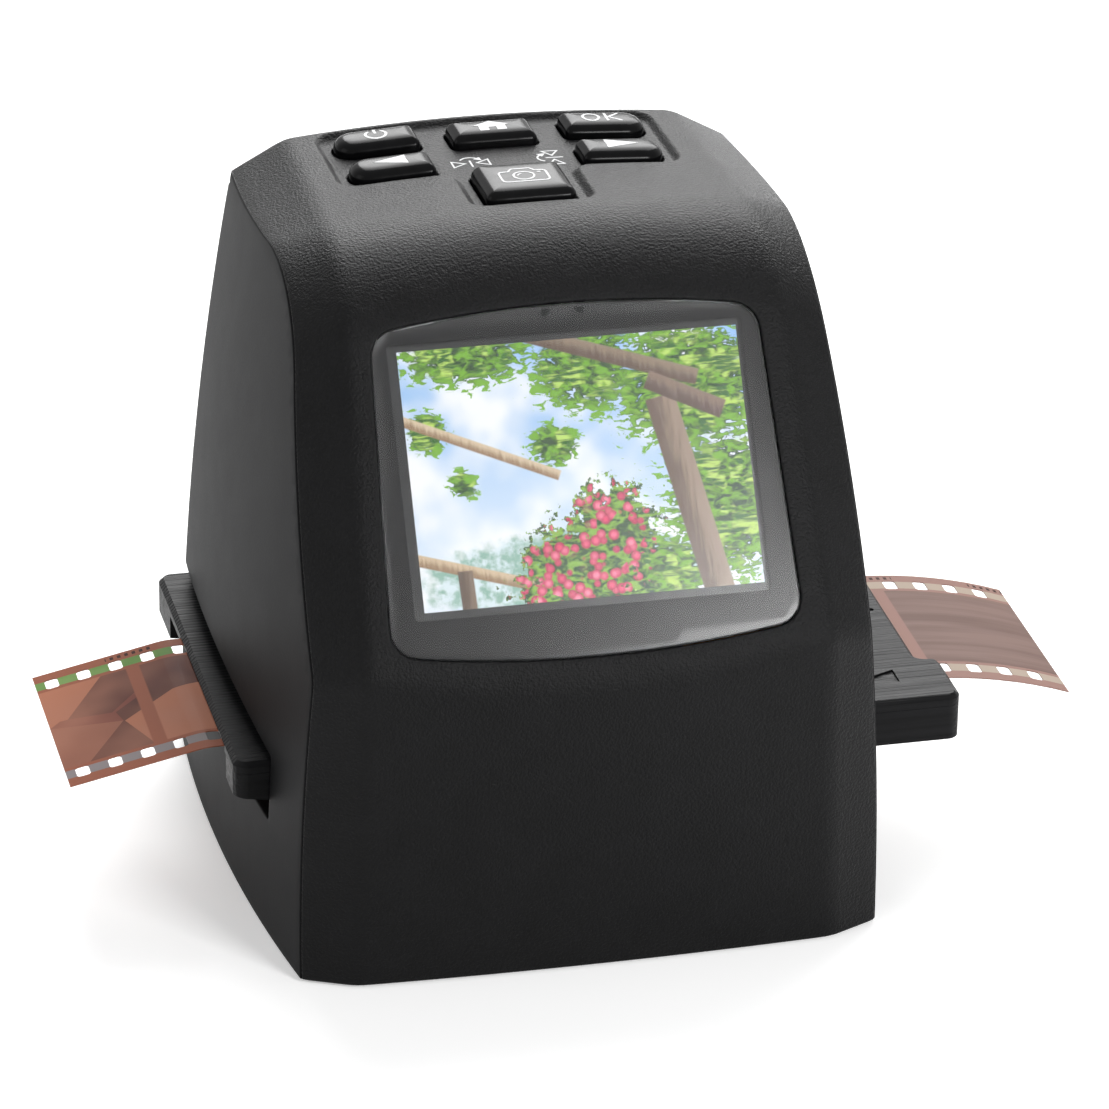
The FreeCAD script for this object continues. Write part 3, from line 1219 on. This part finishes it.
def make_diffuser():
    item = doc.addObject("Part::Box", "diffuser")
    bind(item, "Length", lamp_box_width)
    bind(item, "Width", lamp_box_depth)
    bind(item, "Height", d.diffuser_thick)
    seat(item, "diffuser")
    bind(item, ".Placement.Base.x", mid_x - lamp_box_width / 2)
    bind(item, ".Placement.Base.y", d.film_mid_y - lamp_box_depth / 2)
    bind(item, ".Placement.Base.z", d.foot_drop + lamp_box_top)


def square(x, y, side, height):
    return outline(frame_corners(x, y, side, side), [0] * 4, flat(height))


def make_shroud():
    """Light tight tunnel over the film, with the plate and posts that carry the camera."""
    front = float(shroud_boss_y) - mm.shroud_boss_radius
    back = mm.tray_back_y + mm.rail_gap + mm.back_rail
    shroud_half = float(lamp_box_width) / 2 + mm.shroud_flange_side
    flange = box(-shroud_half, shroud_half, front, back, rail_top, shroud_flange_top)
    y = mm.film_mid_y

    def tunnel(inset, low, high):
        wide = outline(frame_corners(0, y, float(lamp_box_width) - 2 * inset,
                                     float(lamp_box_depth) - 2 * inset), [0] * 4, flat(low))
        top = square(0, y, mm.shroud_top_side - 2 * inset, high)
        return Part.makeLoft([wide, top], True, True)
    walls = tunnel(0.0, shroud_flange_top, camera_plate_low)
    side = mm.camera_plate_side / 2
    plate = box(-side, side, y - side, y + side, camera_plate_low, camera_plate_top)
    posts = [rod(px, py, camera_plate_top, camera_board_low, mm.camera_post_radius)
             for px, py in CAMERA_POSTS]
    solid = flange.fuse([walls, plate, *posts])
    inside = tunnel(mm.shroud_wall, shroud_flange_top, camera_plate_low)
    low_half = float(lamp_box_width) / 2 - mm.shroud_wall
    low_deep = float(lamp_box_depth) / 2 - mm.shroud_wall
    mouth = box(-low_half, low_half, y - low_deep, y + low_deep,
                rail_top - d.shroud_flange, shroud_flange_top)
    hole = rod(0, y, camera_plate_low - d.shroud_wall, camera_plate_top + d.shroud_wall,
               barrel_radius + d.camera_hole_gap)
    bores = [rod(px, py, camera_board_low - d.small_screw_long, camera_board_low,
                 d.small_screw_radius + d.screw_fit) for px, py in CAMERA_POSTS]
    for end in (-1, 1):
        bores.append(rod(end * mm.shroud_boss_x, shroud_boss_y, rail_top, shroud_flange_top,
                         d.small_screw_radius + d.screw_hole_gap))
    return solid.cut([inside, mouth, hole, *bores])


def make_camera_board():
    item = body("camera_board")
    half = d.camera_board_side / 2
    top = camera_board_low + d.board_thick
    block_pad(item, "CameraBoard", -half, half, d.film_mid_y - half, d.film_mid_y + half,
              camera_board_low, top)
    holes = sketch(item, "CameraHoles", top)
    for x, y in CAMERA_POSTS:
        draw_circle(holes, x, y, d.small_screw_radius + d.screw_hole_gap)
    pocket(item, holes, d.board_thick)


def make_holder():
    item = body("lens_holder")
    half = d.holder_side / 2
    block_pad(item, "Holder", -half, half, d.film_mid_y - half, d.film_mid_y + half,
              holder_low, camera_board_low)
    bore = sketch(item, "HolderBore", camera_board_low)
    draw_circle(bore, 0, d.film_mid_y, barrel_radius + d.barrel_gap)
    pocket(item, bore, d.holder_tall)


def make_sensor():
    item = body("image_sensor")
    block_pad(item, "Sensor", -(d.sensor_long / 2), d.sensor_long / 2,
              d.film_mid_y - d.sensor_wide / 2, d.film_mid_y + d.sensor_wide / 2,
              camera_board_low - d.sensor_tall, camera_board_low)


def make_barrel():
    """Lens barrel that screws into the holder, with a rim that keeps the glass in."""
    low = float(barrel_low_face)
    high = low + mm.barrel_tall
    tube = rod(0, mm.film_mid_y, low, high, barrel_radius)
    bore = rod(0, mm.film_mid_y, low + mm.barrel_rim, high, mm.barrel_bore)
    mouth = rod(0, mm.film_mid_y, low, high, mm.barrel_bore - mm.barrel_rim)
    return tube.cut([bore, mouth])


def make_lens():
    """Glass element: a disc with a domed lower face, resting on the barrel's rim."""
    low = float(barrel_low_face) + mm.barrel_rim
    radius = mm.barrel_bore - mm.lens_gap
    inner = mm.barrel_bore - mm.barrel_rim - mm.lens_gap
    dome_radius = (inner * inner + mm.lens_bulge ** 2) / (2 * mm.lens_bulge)
    disc = rod(0, mm.film_mid_y, low, low + mm.lens_thick, radius)
    ball = Part.makeSphere(dome_radius, Vector(0, mm.film_mid_y,
                                               low + dome_radius - mm.lens_bulge))
    cap = ball.common(rod(0, mm.film_mid_y, low - mm.lens_bulge, low + mm.lens_gap, inner))
    return disc.fuse(cap)


# Display module

def make_panel():
    return screen_block(-panel_half, panel_half, panel_low, panel_high, panel_back,
                        panel_front)


def make_bezel():
    """Pressed metal tray round the display, with four screw ears."""
    front = panel_front - d.bezel_lip
    tray = screen_block(-bezel_half, bezel_half, bezel_low, bezel_high, bezel_back_face, front)
    fit = d.bezel_fit
    hollow = screen_block(-(panel_half + fit), panel_half + fit, panel_low - fit,
                          panel_high + fit, panel_back - fit, front + fit)
    ears, holes = [], []
    for side, up in EAR_PLACES:
        tip = (bezel_half + d.ear_reach) * side
        root = (bezel_half - d.bezel_wall) * side
        low, high = sorted((float(tip), float(root)))
        ears.append(screen_block(low, high, up - d.ear_width / 2, up + d.ear_width / 2,
                                 bezel_back_face, bezel_back_face + d.ear_thick))
        holes.append(screen_rod(ear_x * side, up, bezel_back_face - d.ear_thick,
                                bezel_back_face + d.ear_thick * 2,
                                d.small_screw_radius + d.screw_hole_gap))
    return tray.cut(hollow).fuse(ears).cut([hollow, *holes])


# Main board and its parts

def on_board(owner, name, y_low, y_high, low, high, x_low, x_high):
    """Pad a rectangle of Y and height between two X levels."""
    drawing = sketch(owner, name, x_low, "YZ_Plane")
    draw_box(drawing, y_low, y_high, low, high)
    return pad(owner, drawing, x_high - x_low)


def make_main_board():
    item = body("main_board")
    on_board(item, "MainBoard", d.main_board_front_y, d.main_board_back_y,
             d.main_board_low, d.main_board_high, board_inner, board_outer)
    holes = sketch(item, "BoardHoles", board_outer, "YZ_Plane")
    for y, z in BOARD_SCREWS:
        draw_circle(holes, y, z, d.small_screw_radius + d.screw_hole_gap)
    pocket(item, holes, d.board_thick)


def make_chips():
    """Image processor and three memory chips on the board's outer face."""
    face = float(board_outer)
    chips = []
    for number in range(4):
        side = mm.chip_side if number == 0 else mm.small_chip_side
        y = mm.chip_y + (number % 2) * (mm.chip_pitch if number else 0)
        z = mm.chip_height + (number // 2) * mm.chip_pitch
        chips.append(box(face, face + mm.chip_thick, y - side / 2, y + side / 2,
                         z - side / 2, z + side / 2))
    return Part.makeCompound(chips)


def make_connectors():
    """Three ribbon connectors on the board's inner face."""
    face = float(board_inner)
    half = mm.connector_wide / 2
    tall = mm.connector_tall / 2
    solids = []
    for height in (mm.lcd_connector_height, mm.camera_connector_height,
                   mm.key_connector_height):
        upright = height == mm.lcd_connector_height
        across, up = (tall, half) if upright else (half, tall)
        solids.append(box(face - mm.connector_thick, face, mm.connector_y - across,
                          mm.connector_y + across, height - up, height + up))
    return Part.makeCompound(solids)


def make_usb():
    """Metal socket with a hollow mouth and a tongue, at the back edge of the board."""
    thick, shell = mm.usb_thick, mm.usb_shell
    x_low, x_high = float(board_inner) - thick, float(board_inner)
    y_low = usb_mouth_y - mm.usb_long
    outside = box(x_low, x_high, y_low, usb_mouth_y, mm.usb_low, mm.usb_low + mm.usb_tall)
    deep = usb_mouth_y - mm.usb_mouth_deep
    mouth = box(x_low + shell, x_high - shell, deep, usb_mouth_y + mm.wall,
                mm.usb_low + shell, mm.usb_low + mm.usb_tall - shell)
    middle = (x_low + x_high) / 2
    half = mm.usb_tongue_thick / 2
    tongue = box(middle - half, middle + half, deep, usb_mouth_y - shell,
                 mm.usb_low + mm.usb_tongue_side,
                 mm.usb_low + mm.usb_tall - mm.usb_tongue_side)
    return outside.cut(mouth).fuse(tongue)


def make_card_socket():
    """Memory card socket with its slot, opening at the back wall."""
    x_low = float(board_inner - d.card_thick)
    x_mid = float(card_x)
    outside = box(x_low, board_inner, card_mouth_y - mm.card_long, card_mouth_y,
                  mm.card_low, mm.card_low + mm.card_tall)
    half, thick = mm.card_slot_tall / 2, mm.card_slot_thick / 2
    slot = box(x_mid - thick, x_mid + thick, card_mouth_y - mm.card_slot_long,
               card_mouth_y + mm.wall, float(card_mid) - half, float(card_mid) + half)
    return outside.cut(slot)


def make_jack():
    """Round video socket: a square body with a nose in the back wall."""
    x, z, side = float(jack_x), mm.jack_height, mm.jack_side / 2
    block = box(x - side, x + side, jack_body_y - mm.jack_long, jack_body_y, z - side,
                z + side)
    nose = back_rod(x, z, jack_body_y, jack_mouth_y, mm.jack_nose_radius)
    bore = back_rod(x, z, jack_mouth_y - mm.jack_bore_deep, jack_mouth_y,
                    mm.jack_bore_radius)
    return block.fuse(nose).cut(bore)


# Ribbons and the lamp's lead

def ribbon(points, wide, start, place):
    """Bend a thin strip along points in a plane, with rounded turns.

    place turns a plane point and a distance across the strip into a place in the case.
    """
    thick, bend = mm.ribbon_thick, mm.ribbon_bend
    upper, lower = [], []
    for shift, store in ((0.0, upper), (thick, lower)):
        lines = []
        for first, second in zip(points, points[1:]):
            ux, uy = unit(second[0] - first[0], second[1] - first[1])
            lines.append(((first[0] - uy * shift, first[1] + ux * shift),
                          (second[0] - uy * shift, second[1] + ux * shift)))
        corners = [lines[0][0]]
        corners += [meet(one, two) for one, two in zip(lines, lines[1:])]
        corners.append(lines[-1][1])
        store.extend(corners)
    edges = []
    for corners, sign in ((upper, 1), (lower, -1)):
        at = corners[0]
        for k in range(1, len(corners) - 1):
            before, corner, after = corners[k - 1], corners[k], corners[k + 1]
            turn = ((corner[0] - before[0]) * (after[1] - corner[1])
                    - (corner[1] - before[1]) * (after[0] - corner[0]))
            inside = (turn > 0) == (sign < 0)
            radius = bend if inside else bend + thick
            arc = round_corner(before, corner, after, radius)
            edges.append(Part.LineSegment(place(*at, start), place(*arc[0], start)))
            edges.append(Part.Arc(*(place(*point, start) for point in arc)))
            at = arc[2]
        edges.append(Part.LineSegment(place(*at, start), place(*corners[-1], start)))
    edges.append(Part.LineSegment(place(*upper[0], start), place(*lower[0], start)))
    edges.append(Part.LineSegment(place(*upper[-1], start), place(*lower[-1], start)))
    wire = Part.Wire(Part.__sortEdges__([edge.toShape() for edge in edges]))
    across = place(0, 0, wide) - place(0, 0, 0)
    return Part.Face(wire).extrude(across)


def make_lcd_ribbon():
    """Upright ribbon from behind the display to the main board."""
    behind = on_screen(0, 0, bezel_back_face)
    lift = mm.lcd_ribbon_low + mm.ribbon_wide + mm.ribbon_thick - behind.z
    start_y = behind.y + lift * face_up[0] / face_up[1] + mm.lcd_ribbon_gap
    end_x = float(board_inner) - mm.connector_thick - mm.ribbon_seat_gap
    points = [(mm.lcd_ribbon_start_x, start_y), (mm.ribbon_turn_x, start_y),
              (mm.ribbon_turn_x, mm.connector_y), (end_x, mm.connector_y)]
    return ribbon(points, mm.ribbon_wide, mm.lcd_ribbon_low,
                  lambda x, y, z: Vector(x, y, z))


def make_camera_ribbon():
    """Flat ribbon from the camera board down to the main board."""
    level = float(camera_board_low) + mm.board_thick + mm.ribbon_seat_gap
    end_x = float(board_inner) - mm.connector_thick - mm.ribbon_seat_gap
    low = mm.camera_connector_height
    points = [(mm.camera_ribbon_start, level), (mm.camera_ribbon_turn, level),
              (mm.camera_ribbon_fall_x, low), (end_x, low)]
    return ribbon(points, mm.ribbon_wide, mm.connector_y - mm.ribbon_wide / 2,
                  lambda x, z, y: Vector(x, y, z))


def make_key_ribbon():
    """Flat ribbon from under the key board down to the main board."""
    level = float(key_board_low) - mm.ribbon_seat_gap - mm.ribbon_thick
    end_x = float(board_inner) - mm.connector_thick - mm.ribbon_seat_gap
    low = mm.key_connector_height
    points = [(mm.key_ribbon_start_x, level), (mm.key_ribbon_turn_x, level),
              (mm.key_ribbon_fall_x, low), (end_x, low)]
    return ribbon(points, mm.ribbon_wide, mm.connector_y - mm.ribbon_wide / 2,
                  lambda x, z, y: Vector(x, y, z))


# Sub-parts in the order of assembly

def add_case():
    feature("front_shell", make_front_shell())
    feature("rear_shell", make_rear_shell())
    feature("base_plate", make_base_plate())
    feet = [rod(x, y, -mm.foot_drop, mm.foot_seat, mm.foot_radius) for x, y in FEET]
    feature("rubber_feet", Part.makeCompound(feet))
    feature("case_screws", Part.makeCompound([case_screw(x, y) for x, y in
                                              CASE_SCREWS + LEGS]))


def add_display():
    glass = window_prism(0.0).common(outer_form.cut(case_solid(mm.window_thick, 0.0)))
    feature("screen_window", glass)
    feature("lcd_panel", make_panel())
    feature("lcd_bezel", make_bezel())
    axis = on_screen(0, 0, 1) - on_screen(0, 0, 0)
    screws = [small_screw(on_screen(ear_x * side, up, bezel_back_face), axis,
                          mm.small_screw_long / 2) for side, up in EAR_PLACES]
    feature("lcd_screws", Part.makeCompound(screws))
    feature("lcd_ribbon", make_lcd_ribbon())


def add_keys():
    for name, (x, y, *_) in KEYS.items():
        feature(f"{name}_button", make_key(name))
        low = key_board_top + d.switch_tall - d.plunger_inside
        feature(f"{name}_plunger", rod(x, y, low, plunger_top, mm.plunger_radius))
    item = body("key_board")
    block_pad(item, "KeyBoard", -d.key_board_half, d.key_board_half, d.key_board_front_y,
              d.key_board_back_y, key_board_low, key_board_top)
    holes = sketch(item, "KeyBoardHoles", key_board_top)
    for side in (term(-1), term(1)):
        for x, y in ((d.key_boss_out_x, d.key_boss_out_y), (d.key_boss_in_x,
                                                            d.key_boss_in_y)):
            draw_circle(holes, side * x, y, d.small_screw_radius + d.screw_hole_gap)
    pocket(item, holes, d.key_board_thick)
    switches = []
    for x, y, *_ in KEYS.values():
        high = key_board_top + d.switch_tall
        case = prism(frame_corners(x, y, mm.switch_side, mm.switch_side), [0] * 4,
                     key_board_top, high)
        switches.append(case.cut(rod(x, y, high - d.switch_bore_deep, high,
                                     mm.switch_bore_radius)))
    feature("key_switches", Part.makeCompound(switches))
    screws = [small_screw(Vector(x, y, float(key_board_low)), Vector(0, 0, 1),
                          mm.small_screw_long) for x, y in KEY_BOSSES]
    feature("key_board_screws", Part.makeCompound(screws))
    feature("key_ribbon", make_key_ribbon())


def add_tray():
    base, cover = make_tray_base(), make_tray_cover()
    dress_tray(base, False)
    dress_tray(cover, True)
    pin = doc.addObject("Part::Cylinder", "tray_hinge_pin")
    bind(pin, "Radius", d.hinge_pin_radius)
    bind(pin, "Height", d.hinge_pin_long)
    seat(pin, "tray_hinge_pin")
    pin.Placement.Rotation = FreeCAD.Rotation(Vector(0, 0, 1), Vector(1, 0, 0))
    bind(pin, ".Placement.Base.x", mid_x - d.hinge_pin_long / 2)
    bind(pin, ".Placement.Base.y", d.tray_back_y - d.hinge_pin_in)
    bind(pin, ".Placement.Base.z", d.foot_drop + part_line)
    feature("film_strip", make_film())


def add_light():
    make_channel()
    feature("detent_springs", Part.makeCompound([make_detent(side) for side in (-1, 1)]))
    make_lamp_board()
    feature("lamp_leds", make_leds())
    make_light_box()
    make_diffuser()
    screws = [small_screw(Vector(x, y, lamp_board_top), Vector(0, 0, -1),
                          float(d.board_thick + d.lamp_standoff)) for x, y in LAMP_SCREWS]
    feature("lamp_screws", Part.makeCompound(screws))


def add_camera():
    feature("light_shroud", make_shroud())
    screws = [small_screw(Vector(side * mm.shroud_boss_x, shroud_boss_y, shroud_flange_top),
                          Vector(0, 0, -1), mm.small_screw_long) for side in (-1, 1)]
    feature("shroud_screws", Part.makeCompound(screws))
    make_camera_board()
    make_holder()
    make_sensor()
    feature("lens_barrel", make_barrel())
    feature("lens_glass", make_lens())
    top = float(camera_board_low) + mm.board_thick
    screws = [small_screw(Vector(x, y, top), Vector(0, 0, -1), mm.small_screw_long)
              for x, y in CAMERA_POSTS]
    feature("camera_screws", Part.makeCompound(screws))
    feature("camera_ribbon", make_camera_ribbon())


def add_main_board():
    make_main_board()
    feature("main_chips", make_chips())
    feature("board_connectors", make_connectors())
    feature("usb_socket", make_usb())
    feature("card_socket", make_card_socket())
    feature("video_jack", make_jack())
    screws = [small_screw(Vector(board_inner, y, z), Vector(1, 0, 0), mm.small_screw_long)
              for y, z in BOARD_SCREWS]
    feature("board_screws", Part.makeCompound(screws))


def check_and_write():
    """Refuse a failed object or an invalid shape, then write one file for each sub-part."""
    doc.recompute()
    for item in doc.Objects:
        if {"Invalid", "Error"} & set(item.State):
            raise RuntimeError(f"{item.Name} did not recompute: {item.State}")
    for item in SUBPARTS:
        if item.Shape.isNull() or not item.Shape.isValid():
            raise RuntimeError(f"{item.Label} has no valid shape")
    os.makedirs("parts", exist_ok=True)
    for item in SUBPARTS:
        item.Shape.exportStep(f"parts/{item.Label}.step")
    print(f"{len(SUBPARTS)} sub-parts, screen leans back {SCREEN_LEAN:.1f} degrees")


add_case()
add_display()
add_keys()
add_tray()
add_light()
add_camera()
add_main_board()
check_and_write()
